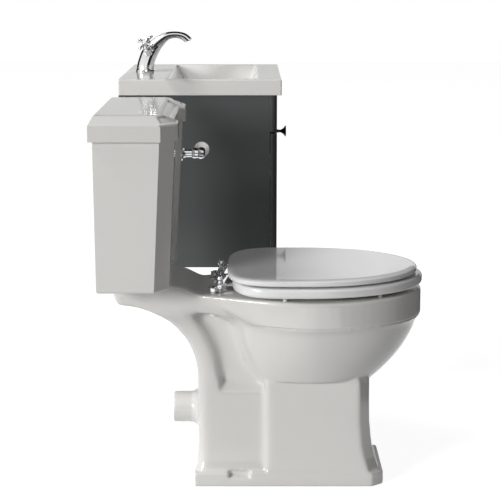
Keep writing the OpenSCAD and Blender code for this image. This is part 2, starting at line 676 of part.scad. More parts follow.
// Each post: offset plate on the stud, ball round the bar, neck and dome
module hinge_posts() {
    plate_z = rim_h + hinge_rise - 10;
    color("silver") at_toilet() for (s = [-1, 1]) difference() {
        union() {
            translate([s * post_x, -hinge_stud_y, plate_z]) cylinder(d = 21, h = 7);
            translate([s * post_x, -hinge_stud_y, plate_z + 6]) cylinder(d1 = 19, d2 = 12, h = 3);
            translate([s * post_x, -hinge_y, hinge_z]) sphere(d = 15.5);
            translate([s * post_x, -hinge_y, rim_h + 1]) cylinder(d1 = 5, d2 = 11, h = hinge_rise - 2);
            translate([s * post_x, -hinge_y, hinge_z + 4]) cylinder(d = 8, h = 10);
            translate([s * post_x, -hinge_y, hinge_z + 17]) sphere(d = 14);
        }
        translate([s * post_x, -hinge_stud_y, plate_z - 1]) cylinder(d = stud_d + 0.4, h = 6);
        translate([s * post_x - 20, -hinge_y, hinge_z]) rotate([0, 90, 0]) cylinder(d = bar_d + 0.2, h = 40);
    }
}
module hinge_bar() {
    color("silver") at_toilet() translate([-post_x - 9, -hinge_y, hinge_z]) rotate([0, 90, 0]) difference() {
        cylinder(d = bar_d, h = 2 * post_x + 18);
        for (z = [-1, 2 * post_x + 15]) translate([0, 0, z]) cylinder(d = 4, h = 4);
    }
}

// Outline of the seat: a half oval in front, a squarer one behind
function seat_plan(half, front, rear, wide, n = 22) = mirrored(concat(
    [for (i = [0:n]) let(a = (i + 0.5) * 90 / (n + 0.5))
        [half * sin(a), -wide - (front - wide) * cos(a) / cos(45 / (n + 0.5))]],
    [for (i = [1:n / 2]) let(a = i * 85 / (n / 2))
        [half * pow(cos(a), 2 / 3), -wide + (wide - rear) * pow(sin(a), 2 / 3)]]));
function seat_level(inset, front, rear, z) =
    lifted(seat_plan(seat_half - inset, front - inset, rear + inset, seat_wide), z);
function opening_level(grow, z) = [for (i = [0:43]) let(a = (i + 0.5) * 360 / 44 - 90)
    [(108 + grow) * cos(a), -470 + ((sin(a) > 0 ? 122 : 146) + grow) * sin(a), z]];
module seat_ring() {
    front = toilet_depth;
    color("white") at_toilet() difference() {
        skin([
            seat_level(4, front, seat_rear, ring_z), seat_level(0.8, front, seat_rear, ring_z + 3),
            seat_level(0, front, seat_rear, ring_z + 7), seat_level(0, front, seat_rear, ring_z + ring_t - 8),
            seat_level(1.5, front, seat_rear, ring_z + ring_t - 3.5), seat_level(6, front, seat_rear, ring_z + ring_t)]);
        skin([
            opening_level(4, ring_z - 1), opening_level(1, ring_z + 4), opening_level(1, ring_z + ring_t - 8),
            opening_level(5, ring_z + ring_t - 2.5), opening_level(12, ring_z + ring_t + 1)]);
    }
}
module seat_lid() {
    front = toilet_depth - 10;
    color("white") at_toilet() skin([
        seat_level(4, front, lid_back, seat_lid_z), seat_level(2, front, lid_back, seat_lid_z + 3),
        seat_level(2.5, front, lid_back, seat_lid_z + seat_lid_t - 5),
        seat_level(6, front, lid_back, seat_lid_z + seat_lid_t - 1.5),
        seat_level(14, front, lid_back, seat_lid_z + seat_lid_t)]);
}
// A hinge plate: knuckle round the bar, curved web, and a flat tongue against the board that it carries
module hinge_plate(x, tongue_z, side) {
    w = 14;
    reach = 46;
    mid = tongue_z + (side > 0 ? -arm_t : 0);
    translate([x - w / 2, 0, 0]) difference() {
        union() {
            translate([0, -hinge_y, hinge_z]) rotate([0, 90, 0]) cylinder(d = bar_d + 6, h = w);
            translate([0, -hinge_y - reach, mid]) cube([w, reach - 14, arm_t]);
            rotate([90, 0, 90]) linear_extrude(w) polygon([
                [-hinge_y, hinge_z + side * 3.2], [-hinge_y - 4, hinge_z + side * 6.6],
                [-hinge_y - 17, mid + arm_t / 2 + side * arm_t / 2], [-hinge_y - 17, mid + arm_t / 2 - side * arm_t / 2],
                [-hinge_y - 7, hinge_z - side * 1]]);
        }
        translate([-1, -hinge_y, hinge_z]) rotate([0, 90, 0]) cylinder(d = bar_d + 2 * running, h = w + 2);
    }
}
module seat_arms() {
    color("silver") at_toilet() for (s = [-1, 1]) hinge_plate(s * 34, ring_z - arm_t - 0.1, -1);
}
module lid_arms() {
    color("silver") at_toilet() for (s = [-1, 1]) hinge_plate(s * 53, seat_lid_z - 0.1, 1);
}
module seat_buffers() {
    color("white") at_toilet() for (s = [-1, 1], p = buffer_places)
        translate([s * p[0], -p[1], rim_h + loose]) cylinder(d = 9, h = buffer_h - loose);
}
module lid_buffers() {
    color("white") at_toilet() for (s = [-1, 1], p = buffer_places)
        translate([s * (p[0] - 8), -p[1], ring_z + ring_t + loose]) cylinder(d = 8, h = lid_gap - loose);
}

// One level of the bowl: grow pushes every side out
function basin_level(t, grow, z) = lifted(round_rect(
    basin_w / 2 - side_rim - 62 * t + grow, -basin_depth + front_rim + 34 * t - grow,
    -ledge - 66 * t + grow, 12 + 16 * t + grow), z);
module basin() {
    half = basin_w / 2;
    color("whitesmoke") at_vanity() difference() {
        union() {
            skin([
                lifted(round_rect(half - 1, -basin_depth + 1, 0, 3), basin_foot),
                lifted(round_rect(half, -basin_depth, 0, 3), basin_foot + 1),
                lifted(round_rect(half, -basin_depth, 0, 3), basin_top - 2),
                lifted(round_rect(half - 1.5, -basin_depth + 1.5, 0, 3), basin_top)]);
            skin([
                basin_level(1.1, basin_wall - 6, bowl_floor - 10), basin_level(0.9, basin_wall, bowl_floor + 4),
                basin_level(0.3, basin_wall, basin_top - 30)]);
        }
        difference() {
            translate([-half + basin_wall, -basin_depth + basin_wall, basin_foot - 1])
                cube([basin_w - 2 * basin_wall, basin_depth - 2 * basin_wall, basin_edge - basin_wall + 1]);
            skin([
                basin_level(1.1, basin_wall - 6, bowl_floor - 10), basin_level(0.9, basin_wall, bowl_floor + 4),
                basin_level(0.3, basin_wall, basin_top - 30), basin_level(0, basin_wall, basin_top)]);
        }
        skin([
            basin_level(1.3, 0, bowl_floor), basin_level(1, 0, bowl_floor + 5), basin_level(0.85, 0, bowl_floor + 20),
            basin_level(0.06, 0, basin_top - 6), basin_level(0, 0, basin_top - 1), basin_level(0, 1.5, basin_top + 1)]);
        translate([0, -waste_y, bowl_floor - 20]) cylinder(d = waste_hole_d, h = 40);
        translate([0, -tap_y, basin_foot - 1]) cylinder(d = tap_tail_d + 3, h = basin_edge + 2);
    }
}

module at_waste() { at_vanity() translate([0, -waste_y, bowl_floor]) children(); }
module basin_waste() {
    color("silver") at_waste() difference() {
        union() {
            cylinder(d = waste_hole_d + 18, h = 3);
            translate([0, 0, -26]) cylinder(d = waste_hole_d - 1, h = 27);
            translate([0, 0, -72]) cylinder(d = waste_tail_d, h = 50);
        }
        translate([0, 0, -74]) cylinder(d = waste_bore, h = 80);
    }
    // Bridge across the bore, with the guide that the plug's stem slides in
    color("silver") at_waste() translate([0, 0, -32]) difference() {
        union() {
            intersection() {
                cylinder(d = waste_bore + 1, h = 6);
                translate([-waste_bore, -2.5, 0]) cube([2 * waste_bore, 5, 6]);
            }
            cylinder(d = 13, h = 6);
        }
        translate([0, 0, -1]) cylinder(d = 9, h = 8);
    }
}
module waste_washer() {
    color("dimgray") at_waste() translate([0, 0, -10 - 4]) tube(waste_hole_d + 18, waste_hole_d - 0.6, 4 - loose / 3);
}
module waste_nut() {
    color("silver") at_waste() translate([0, 0, -14 - 10 - loose]) hex_nut(waste_hole_d + 14, waste_hole_d - 0.6, 10);
}
module waste_plug() {
    color("silver") at_waste() {
        translate([0, 0, 3 + loose]) rotate_extrude() polygon([
            [0, 0], [waste_hole_d / 2 + 3, 0], [waste_hole_d / 2 + 5, 1.2], [waste_hole_d / 2 + 4, 2.6],
            [10, 5], [0, 5.4]]);
        translate([0, 0, -40]) cylinder(d = 8.4, h = 44);
    }
}

// Stations of the mixer's body and spout: distance from the wall, height above the basin, slope of the path,
// half thickness in the path's plane and half width across it
TAP_PATH = [
    [48, 8, 90, 22, 22], [50, 20, 86, 22, 20.5], [54, 33, 80, 21.5, 19], [60, 48, 70, 21, 17.5],
    [70, 62, 60, 18.5, 16], [84, 77, 52, 15, 14.5], [105, 92, 32, 10.6, 13], [127, 96, 4, 8.6, 12],
    [146, 92.5, -30, 9.6, 11.5], [156, 86, -52, 10.4, 11.5], [161, 80.5, -66, 10.8, 11.5]];
// Smooth value at a place between stations
function along(p, t) = let(
        i = min(floor(t), len(p) - 2), f = t - i,
        a = p[max(i - 1, 0)], b = p[i], c = p[i + 1], d = p[min(i + 2, len(p) - 1)])
    b + (c - a) * f / 2 + (2 * a - 5 * b + 4 * c - d) * f * f / 2 + (3 * (b - c) + d - a) * f * f * f / 2;
function tap_ring(s) = [
    for (i = [0:19]) let(a = i * 18 - 81, u = spow(sin(a), 0.85) * s[3], v = spow(cos(a), 0.85) * s[4])
    [v, -s[0] + u * sin(s[2]), basin_top + s[1] + u * cos(s[2])]];
// Places the mixer's left or right valve, with z along its stem
module at_valve(s) {
    at_vanity() translate([s * 16, -tap_y - 12, basin_top + 47])
        rotate([0, 0, s > 0 ? 23.3 : 156.7]) rotate([0, 38.2, 0]) children();
}
module tap_body() {
    steps = 26;
    n = len(TAP_PATH) - 1;
    color("silver") difference() {
        union() {
            at_vanity() skin([for (i = [0:steps]) tap_ring(along(TAP_PATH, i * n / steps))]);
            for (s = [-1, 1]) at_valve(s) cylinder(d = 19, h = 15);
        }
        at_vanity() translate([0, -161 - 3.2, basin_top + 80.5 - 7.3]) rotate([-24, 0, 0]) cylinder(d = 15, h = 12);
    }
}
// Threaded tail through the basin's deck, and under it a socket for each supply
module tap_shank() {
    color("goldenrod") at_vanity() translate([0, -tap_y, basin_foot - shank_below])
        cylinder(d = tap_tail_d, h = shank_below + basin_edge + 8);
}
module tap_sockets() {
    color("goldenrod") at_vanity() for (s = [-1, 1]) difference() {
        translate([s * 8, -tap_y, basin_foot - shank_below - socket_l]) cylinder(d = socket_bore + 4.5, h = socket_l);
        translate([s * 8, -tap_y, basin_foot - shank_below - socket_l - 1]) cylinder(d = socket_bore, h = socket_l - 6);
    }
}
module tap_base_ring() {
    color("silver") at_vanity() translate([0, -tap_y, basin_top]) difference() {
        rotate_extrude() polygon([
            [0, 0], [tap_base_d / 2, 0], [tap_base_d / 2, 2.4], [tap_base_d / 2 - 1.8, 4], [tap_base_d / 2 - 2.2, 6],
            [tap_base_d / 2 - 3, 7.6], [0, 7.8]]);
        translate([0, 0, -1]) cylinder(d = tap_tail_d + 0.4, h = 12);
    }
}
module tap_nut() {
    under = basin_top - basin_wall;
    color("goldenrod") at_vanity() translate([0, -tap_y, under - 14 - loose])
        hex_nut(tap_tail_d + 14, tap_tail_d + 0.4, 10);
}
module tap_washer() {
    color("dimgray") at_vanity() translate([0, -tap_y, basin_top - basin_wall - 4])
        tube(tap_tail_d + 18, tap_tail_d + 0.4, 4 - loose);
}
module valve_bonnets() {
    color("silver") for (s = [-1, 1]) at_valve(s) translate([0, 0, 15]) rotate_extrude() polygon([
        [0, 0], [10, 0], [10, 4], [8.6, 6.5], [6.4, 8], [6.4, 10], [4, 10], [4, 16], [0, 16]]);
}
// Crosshead: skirt over the valve, hub, and four arms with ball ends
module crosshead(s) {
    color("silver") at_valve(s) difference() {
        union() {
            translate([0, 0, 24]) rotate_extrude() polygon([
                [0, 0], [8.8, 0], [9.4, 2], [7.4, 5], [6.6, 8], [7.2, 10], [7.2, 18], [6, 19.4], [0, 19.4]]);
            translate([0, 0, 37.5]) for (a = [0:3]) rotate([0, 90, a * 90 + s * 15]) {
                cylinder(d = cross_arm_d, h = cross_reach);
                translate([0, 0, cross_reach]) sphere(d = cross_arm_d + 3.4);
            }
        }
        translate([0, 0, 20]) cylinder(d = 13.4, h = 5.6);
        translate([0, 0, 24]) cylinder(d = 8.6, h = 8);
        translate([0, 0, 42]) cylinder(d = 10.4, h = 5);
    }
}
module crosshead_left() { crosshead(-1); }
module crosshead_right() { crosshead(1); }
module index_cap(s) {
    color("white") at_valve(s) translate([0, 0, 42]) rotate_extrude()
        polygon([[0, 0], [5, 0], [5, 1.6], [3.4, 2.3], [0, 2.6]]);
}
module index_cap_left() { index_cap(-1); }
module index_cap_right() { index_cap(1); }
module aerator() {
    color("silver") at_vanity() translate([0, -161 - 3.2, basin_top + 80.5 - 7.3]) rotate([-24, 0, 0])
        difference() {
            translate([0, 0, 6.6]) cylinder(d = 14.6, h = 5.2);
            for (x = [-4, 0, 4], y = [-4, 0, 4]) translate([x, y, 6]) cylinder(d = 2, h = 2.5, $fn = 16);
        }
}

module cabinet_side(s) {
    color([0.28, 0.3, 0.3]) at_vanity() translate([s > 0 ? inner_half : -cabinet_w / 2, -carcass, cabinet_z])
        cube([board_t, carcass, cabinet_h]);
}
module cabinet_left_side() { cabinet_side(-1); }
module cabinet_right_side() { cabinet_side(1); }
module cabinet_base() {
    color([0.28, 0.3, 0.3]) at_vanity() translate([-inner_half, -carcass, cabinet_z])
        cube([2 * inner_half, carcass - rail_y, board_t]);
}
module cabinet_back_rails() {
    color([0.28, 0.3, 0.3]) at_vanity() {
        difference() {
            translate([-inner_half, -rail_y - board_t, basin_foot - 96]) cube([2 * inner_half, board_t, 80]);
            for (s = [-1, 1]) translate([s * hanger_x - 10, -rail_y - board_t - 1, hanger_z + 14])
                cube([20, board_t + 2, 16]);
        }
        translate([-inner_half, -rail_y - board_t, cabinet_z + board_t]) cube([2 * inner_half, board_t, 80]);
    }
}
module cabinet_front_rails() {
    color([0.28, 0.3, 0.3]) at_vanity() {
        translate([-inner_half, -carcass, basin_foot - 50]) cube([2 * inner_half, board_t, 50]);
        translate([-inner_half, -carcass, basin_foot - fascia_h - 10]) cube([2 * inner_half, 50, board_t]);
    }
}
module fascia() {
    color([0.28, 0.3, 0.3]) at_vanity() translate([-cabinet_w / 2, -cabinet_front, basin_foot - fascia_h])
        cube([cabinet_w, cabinet_front - carcass, fascia_h]);
}
module door_frame() {
    h = door_top - door_z;
    color([0.28, 0.3, 0.3]) at_vanity() translate([-door_w / 2, -cabinet_front, door_z]) difference() {
        cube([door_w, door_t, h]);
        translate([stile_w, -1, stile_w]) cube([door_w - 2 * stile_w, door_t + 2, h - 2 * stile_w]);
        translate([stile_w - 8, 6, stile_w - 8]) cube([door_w - 2 * stile_w + 16, 7, h - 2 * stile_w + 16]);
        for (z = [cup_end, h - cup_end]) translate([cup_in, door_t - 12, z]) rotate([-90, 0, 0])
            cylinder(d = cup_d + 0.4, h = 14);
        translate([door_w - stile_w / 2, -1, h - 50]) rotate([-90, 0, 0]) cylinder(d = 4.5, h = door_t + 2);
    }
}
module door_panel() {
    h = door_top - door_z;
    color([0.28, 0.3, 0.3]) at_vanity()
        translate([-door_w / 2 + stile_w - 7.5, -cabinet_front + 6.2, door_z + stile_w - 7.5])
            cube([door_w - 2 * stile_w + 15, 6.6, h - 2 * stile_w + 15]);
}
module door_knob() {
    r = knob_d / 2;
    color([0.1, 0.1, 0.1]) at_vanity() {
        translate([door_w / 2 - stile_w / 2, -cabinet_front, door_top - 50]) rotate([90, 0, 0]) rotate_extrude() polygon([
            [0, 0], [9.8, 0], [9.2, 2], [6.6, 6], [4.6, 11], [3.8, 16], [4.2, 19], [6.4, knob_out - 10.5],
            [10, knob_out - 6.5], [r - 1.6, knob_out - 4], [r, knob_out - 2.6], [r - 1, knob_out - 0.6],
            [r - 5, knob_out], [0, knob_out]]);
        translate([door_w / 2 - stile_w / 2, -cabinet_front + door_t, door_top - 50]) rotate([90, 0, 0]) {
            cylinder(d = 4, h = door_t + 0.5);
            translate([0, 0, -2.2]) cylinder(d1 = 6, d2 = 9, h = 2.2);
        }
    }
}
// Concealed hinges: the cup rides in the door, the arm and its plate are screwed inside the left side
module hinge_cups() {
    color("silver") at_vanity() for (z = [door_z + cup_end, door_top - cup_end])
        translate([-door_w / 2 + cup_in, -cabinet_front + door_t, z]) difference() {
            union() {
                translate([0, -11.8, 0]) rotate([-90, 0, 0]) cylinder(d = cup_d, h = 11.8);
                translate([-9, 0, -26]) cube([20, 1, 52]);
            }
            translate([0, -10.8, 0]) rotate([-90, 0, 0]) cylinder(d = cup_d - 2.4, h = 13);
        }
}
module hinge_arms() {
    color("silver") at_vanity() for (z = [door_z + cup_end, door_top - cup_end])
        translate([-inner_half + 0.1, 0, z]) {
            translate([0, -carcass + 24, -24]) cube([2.5, 34, 48]);
            translate([0, -carcass + 4, -8]) cube([9.5, 54, 16]);
            translate([0, -carcass - door_gap - 5, -6]) cube([7.5, 14 + door_gap, 12]);
        }
}
// Each bracket is screwed behind the rail, and its hook goes through the rail onto the lip of a wall plate
module hanging_brackets() {
    color("silver") at_vanity() for (s = [-1, 1]) translate([s * hanger_x, 0, hanger_z]) {
        translate([-16, -rail_y - board_t - 26 - loose, -22]) cube([32, 26, 56]);
        translate([-8, -rail_y - board_t - 1, 20]) cube([16, rail_y + board_t - 1.4, 4]);
        translate([-8, -4.4, 16]) cube([16, 2, 8]);
    }
}
module wall_plates() {
    color("silver") at_vanity() for (s = [-1, 1]) translate([s * hanger_x, 0, hanger_z]) difference() {
        union() {
            translate([-28, -2, -34]) cube([56, 2, 49]);
            translate([-28, -7, 13]) cube([56, 7, 2]);
            translate([-28, -7, 13]) cube([56, 2.2, 6.7]);
        }
        translate([0, 1, -14]) rotate([90, 0, 0]) cylinder(d = wall_hole_d, h = 20);
    }
}

pan();
cistern();
cistern_lid();
coupling_washer();
coupling_bolts();
coupling_cushions();
coupling_nuts();
siphon_housing();
siphon_nut();
siphon_piston();
fill_valve();
fill_valve_nut();
fill_float();
lever_rosette();
lever_nut();
flush_lever();
lever_ball();
lever_crank();
hinge_bushes();
hinge_studs();
hinge_nuts();
hinge_posts();
hinge_bar();
seat_ring();
seat_arms();
seat_buffers();
seat_lid();
lid_arms();
lid_buffers();
basin();
basin_waste();
waste_washer();
waste_nut();
waste_plug();
tap_body();
tap_shank();
tap_sockets();
tap_base_ring();
tap_washer();
tap_nut();
valve_bonnets();
crosshead_left();
crosshead_right();
index_cap_left();
index_cap_right();
aerator();
cabinet_left_side();
cabinet_right_side();
cabinet_base();
cabinet_back_rails();
cabinet_front_rails();
fascia();
door_frame();
door_panel();
door_knob();
hinge_cups();
hinge_arms();
hanging_brackets();
wall_plates();
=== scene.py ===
import json
import math
from collections import namedtuple

import bmesh
import bpy
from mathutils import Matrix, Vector


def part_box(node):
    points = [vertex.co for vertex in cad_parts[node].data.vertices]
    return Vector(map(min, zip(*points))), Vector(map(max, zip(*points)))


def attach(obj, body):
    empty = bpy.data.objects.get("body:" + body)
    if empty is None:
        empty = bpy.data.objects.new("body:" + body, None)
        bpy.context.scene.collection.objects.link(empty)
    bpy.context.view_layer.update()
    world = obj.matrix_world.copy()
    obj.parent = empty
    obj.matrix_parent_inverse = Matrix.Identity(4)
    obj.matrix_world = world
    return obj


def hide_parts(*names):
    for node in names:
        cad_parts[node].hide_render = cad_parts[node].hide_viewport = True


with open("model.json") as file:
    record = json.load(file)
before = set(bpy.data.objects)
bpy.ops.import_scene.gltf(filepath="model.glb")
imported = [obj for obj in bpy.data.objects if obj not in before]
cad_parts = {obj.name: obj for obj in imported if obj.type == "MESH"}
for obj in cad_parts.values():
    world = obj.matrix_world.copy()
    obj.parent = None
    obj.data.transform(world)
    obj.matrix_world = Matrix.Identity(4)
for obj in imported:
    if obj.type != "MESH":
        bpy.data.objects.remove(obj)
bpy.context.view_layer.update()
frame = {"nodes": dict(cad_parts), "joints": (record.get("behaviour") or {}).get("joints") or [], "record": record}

# A close-coupled toilet beside a wall-hung vanity. Sizes are in metres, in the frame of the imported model:
# x runs along the wall, y runs towards it, and z = 0 is the floor. "Out" is a distance from the wall, and
# "aside" is a distance from the middle of the toilet.
nodes = frame["nodes"]
scene = bpy.context.scene


def corners(node):
    """A node's lowest and highest corners, to a tenth of a millimetre."""
    return [[round(value, 4) for value in corner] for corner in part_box(node)]


lid_low, lid_high = corners("cistern_lid")
WALL = lid_high[1]
TOILET_X = round((lid_low[0] + lid_high[0]) / 2, 4)


# Finishes
class Value:
    """A socket of a node tree. Sums and products of it add Math nodes."""

    def __init__(self, tree, socket):
        self.tree, self.socket = tree, socket

    def _with(self, operation, *values):
        return self.tree.add("ShaderNodeMath", {"operation": operation}, dict(enumerate(values)))

    def __add__(self, other):
        return self._with("ADD", self, other)

    def __mul__(self, other):
        return self._with("MULTIPLY", self, other)

    __radd__ = __add__
    __rmul__ = __mul__


class Tree:
    """A node tree round one main node, whose sockets are set evenly or fed by other nodes."""

    def __init__(self, holder, main, **even):
        holder.use_nodes = True
        self.nodes, self.links = holder.node_tree.nodes, holder.node_tree.links
        self.main = self.nodes[main]
        for socket, value in even.items():
            self.main.inputs[socket.replace("_", " ")].default_value = value

    def add(self, kind, settings=None, inputs=None, output=0):
        """Any node: its settings first, then the values or links of its sockets."""
        node = self.nodes.new(kind)
        for key, value in (settings or {}).items():
            setattr(node, key, value)
        for key, value in (inputs or {}).items():
            if isinstance(value, Value):
                self.links.new(value.socket, node.inputs[key])
            else:
                node.inputs[key].default_value = value
        return Value(self, node.outputs[output])

    def feed(self, **sources):
        """Links values to the main node's sockets."""
        for socket, value in sources.items():
            self.links.new(value.socket, self.main.inputs[socket.replace("_", " ")])

    def ray(self, kind):
        """One for a kind of ray, and nought for every other."""
        return self.add("ShaderNodeLightPath", output="Is %s Ray" % kind)


class Finish(Tree):
    """A material with one Principled shader."""

    def __init__(self, name, **even):
        self.material = bpy.data.materials.new(name)
        super().__init__(self.material, "Principled BSDF", **even)
        self.place = self.add("ShaderNodeTexCoord", output="Object")

    def noise(self, scale, detail=2.0, rough=0.5, stretch=(1, 1, 1)):
        """A noise over the piece's own place, which may be stretched."""
        place = self.place
        if stretch != (1, 1, 1):
            place = self.add("ShaderNodeMapping", inputs={"Vector": place, "Scale": stretch})
        sockets = {"Vector": place, "Scale": scale, "Detail": detail, "Roughness": rough}
        return self.add("ShaderNodeTexNoise", inputs=sockets)

    def blend(self, amount, first, second):
        """Two colours mixed by an amount."""
        factor, colour_a, colour_b, mixed = 0, 6, 7, 2
        sockets = {factor: amount, colour_a: (*first, 1), colour_b: (*second, 1)}
        return self.add("ShaderNodeMix", {"data_type": "RGBA"}, sockets, output=mixed)

    def bump(self, height, strength, distance):
        """A normal that follows a height."""
        sockets = {"Height": height, "Strength": strength, "Distance": distance}
        return self.add("ShaderNodeBump", inputs=sockets)


def glazed(name, pale, shade, ripple=0.25):
    """Fired glaze: a slow drift of tone, a faint speckle and a long soft ripple."""
    finish = Finish(name, IOR=1.52, Coat_Roughness=0.03, Coat_IOR=1.5)
    drift = finish.noise(scale=4.0, detail=3.0, rough=0.55)
    speckle = finish.noise(scale=420.0)
    cloud = finish.noise(scale=9.0)
    waves = finish.noise(scale=16.0, detail=1.0, rough=0.3)
    finish.feed(
        Base_Color=finish.blend(drift * 0.7 + speckle * 0.3, pale, shade),
        Roughness=0.075 + cloud * 0.06,
        Coat_Weight=0.02 + drift * 0.08,
        Normal=finish.bump(waves + speckle * 0.02, strength=ripple, distance=0.0006),
    )
    return finish.material


def lacquer(name, pale, shade):
    """Sprayed and polished lacquer over board, with a trace of orange peel."""
    finish = Finish(name, IOR=1.5, Coat_Roughness=0.02)
    drift = finish.noise(scale=6.0)
    cloud = finish.noise(scale=22.0)
    peel = finish.noise(scale=240.0, detail=1.0)
    finish.feed(
        Base_Color=finish.blend(drift, pale, shade),
        Roughness=0.05 + cloud * 0.03,
        Coat_Weight=0.1 + drift * 0.1,
        Normal=finish.bump(peel, strength=0.08, distance=0.0002),
    )
    return finish.material


def plated(name, tone, dull, low=0.035, spread=0.05):
    """Polished plating with faint clouding and wiping marks. Its roughness starts low and has a spread."""
    finish = Finish(name)
    cloud = finish.noise(scale=30.0, detail=4.0, rough=0.6)
    wipe = finish.noise(scale=260.0, stretch=(1, 1, 0.15))
    finish.feed(
        Base_Color=finish.blend(cloud, tone, dull),
        Metallic=finish.add("ShaderNodeClamp", inputs={"Value": 0.97 + cloud * 0.06}),
        Roughness=low + cloud * spread * 0.6 + wipe * spread * 0.4,
        Normal=finish.bump(wipe, strength=0.02, distance=0.0001),
    )
    return finish.material


def painted_board(name, pale, shade):
    """Satin sprayed paint over board: fine orange peel over a slow drift."""
    finish = Finish(name, IOR=1.46, Coat_Roughness=0.3)
    drift = finish.noise(scale=5.0, detail=3.0)
    peel = finish.noise(scale=520.0)
    finish.feed(
        Base_Color=finish.blend(drift, pale, shade),
        Roughness=0.33 + drift * 0.08 + peel * 0.04,
        Coat_Weight=0.25 + drift * 0.15,
        Normal=finish.bump(peel, strength=0.12, distance=0.0002),
    )
    return finish.material


def moulded(name, pale, shade, rough, grain=300.0):
    """Moulded plastic or rubber with a fine grain."""
    finish = Finish(name, IOR=1.48)
    drift = finish.noise(scale=12.0)
    texture = finish.noise(scale=grain, detail=3.0, rough=0.6)
    finish.feed(
        Base_Color=finish.blend(drift * 0.6 + texture * 0.4, pale, shade),
        Roughness=rough + texture * 0.1,
        Normal=finish.bump(texture, strength=0.15, distance=0.0002),
    )
    return finish.material


# The record's material slots. Each finish runs between two tones.
FINISHES = {
    "ceramic": glazed("ceramic_glaze", (0.79, 0.78, 0.755), (0.755, 0.745, 0.72)),
    "seat_paint": lacquer("seat_lacquer", (0.90, 0.90, 0.90), (0.87, 0.87, 0.87)),
    "chrome": plated("chrome_plate", (0.80, 0.81, 0.82), (0.70, 0.71, 0.72)),
    "brass": plated("machined_brass", (0.75, 0.60, 0.32), (0.62, 0.48, 0.24), low=0.18, spread=0.15),
    "rubber": moulded("black_rubber", (0.03, 0.03, 0.03), (0.055, 0.055, 0.05), rough=0.6),
    "white_plastic": moulded("white_plastic", (0.80, 0.80, 0.78), (0.74, 0.74, 0.72), rough=0.3),
    "float_plastic": moulded("float_plastic", (0.34, 0.45, 0.61), (0.28, 0.38, 0.53), rough=0.4),
    "index_cap": glazed("cap_glaze", (0.86, 0.85, 0.82), (0.80, 0.79, 0.76), ripple=0.05),
    "cabinet_paint": painted_board("cabinet_paint", (0.068, 0.074, 0.074), (0.058, 0.064, 0.064)),
    "knob_paint": moulded("knob_black", (0.012, 0.012, 0.012), (0.02, 0.02, 0.02), rough=0.25, grain=500.0),
    "steel": plated("zinc_plate", (0.62, 0.62, 0.63), (0.50, 0.50, 0.52), low=0.22, spread=0.2),
}
SLOT_OF = {part["node"]: part["material_slot"] for part in frame["record"]["subparts"]}


# Bench tools
# What a test is given: the middle of a corner, edge or face, its direction, and the fold between an edge's
# faces in degrees. A direction with a share of ALONG or more of an axis runs along it, places less than NEAR
# apart are one, and a fold of more than CREASE degrees is an edge of the form.
Spot = namedtuple("Spot", "at way fold")
ALONG, NEAR, CREASE = 0.9, 0.001, 20


def only(piece):
    """Selects one piece and makes it active."""
    bpy.ops.object.select_all(action="DESELECT")
    piece.select_set(True)
    bpy.context.view_layer.objects.active = piece


def edit(piece):
    """Opens one piece for editing."""
    only(piece)
    bpy.ops.object.mode_set(mode="EDIT")


def choose(piece, kind, test):
    """In edit mode, selects only the corners, edges or faces whose spot passes a test."""
    bpy.ops.mesh.select_mode(type=kind)
    bpy.ops.mesh.select_all(action="DESELECT")
    mesh = bmesh.from_edit_mesh(piece.data)
    mesh.normal_update()
    for part in {"VERT": mesh.verts, "EDGE": mesh.edges, "FACE": mesh.faces}[kind]:
        if kind == "VERT":
            spot = Spot(part.co, part.normal, 0.0)
        elif kind == "EDGE":
            start, end = (corner.co for corner in part.verts)
            fold = math.degrees(part.calc_face_angle(0.0))
            spot = Spot((start + end) / 2, (end - start).normalized(), fold)
        else:
            spot = Spot(part.calc_center_median(), part.normal, 0.0)
        if test(spot):
            part.select_set(True)
    bmesh.update_edit_mesh(piece.data)


def choose_all(kind):
    """In edit mode, selects everything, as corners, edges or faces."""
    bpy.ops.mesh.select_mode(type=kind)
    bpy.ops.mesh.select_all(action="SELECT")


def settled(name):
    """Names the active piece and puts its place, turn and scale in its mesh."""
    piece = bpy.context.active_object
    piece.name = piece.data.name = name
    only(piece)
    bpy.ops.object.transform_apply(location=True, rotation=True, scale=True)
    return piece


def block(name, low, high):
    """A box between two corners."""
    low, high = Vector(low), Vector(high)
    bpy.ops.object.select_all(action="DESELECT")
    bpy.ops.mesh.primitive_cube_add(size=1, location=(low + high) / 2, scale=high - low)
    return settled(name)


def disc(name, middle, radius, sides=128, fill="NGON", turn=(0, 0, 0)):
    """A flat circle, filled or left as a line, that edits then shape."""
    bpy.ops.object.select_all(action="DESELECT")
    bpy.ops.mesh.primitive_circle_add(
        vertices=sides, radius=radius, fill_type=fill, location=middle, rotation=turn)
    return settled(name)


def push(x, y, z):
    """Extrudes the chosen faces by a distance along each axis."""
    bpy.ops.mesh.extrude_region_move(TRANSFORM_OT_translate={"value": (x, y, z)})


def inset(thickness, rise=0.0, depth=0.0):
    """Insets the chosen faces, and lifts them straight up by a rise or along their normal by a depth."""
    bpy.ops.mesh.inset(thickness=thickness, depth=depth, use_boundary=True)
    if rise:
        bpy.ops.transform.translate(value=(0, 0, rise))


def apply(piece, kind, **settings):
    """Adds a modifier and applies it."""
    only(piece)
    modifier = piece.modifiers.new(kind.title(), kind)
    for key, value in settings.items():
        setattr(modifier, key, value)
    bpy.ops.object.modifier_apply(modifier=modifier.name)


def smooth(piece, angle=40):
    """Shades a piece smoothly, apart from folds sharper than an angle."""
    only(piece)
    bpy.ops.object.shade_smooth_by_angle(angle=math.radians(angle))
    apply(piece, "WEIGHTED_NORMAL", keep_sharp=True, weight=60)


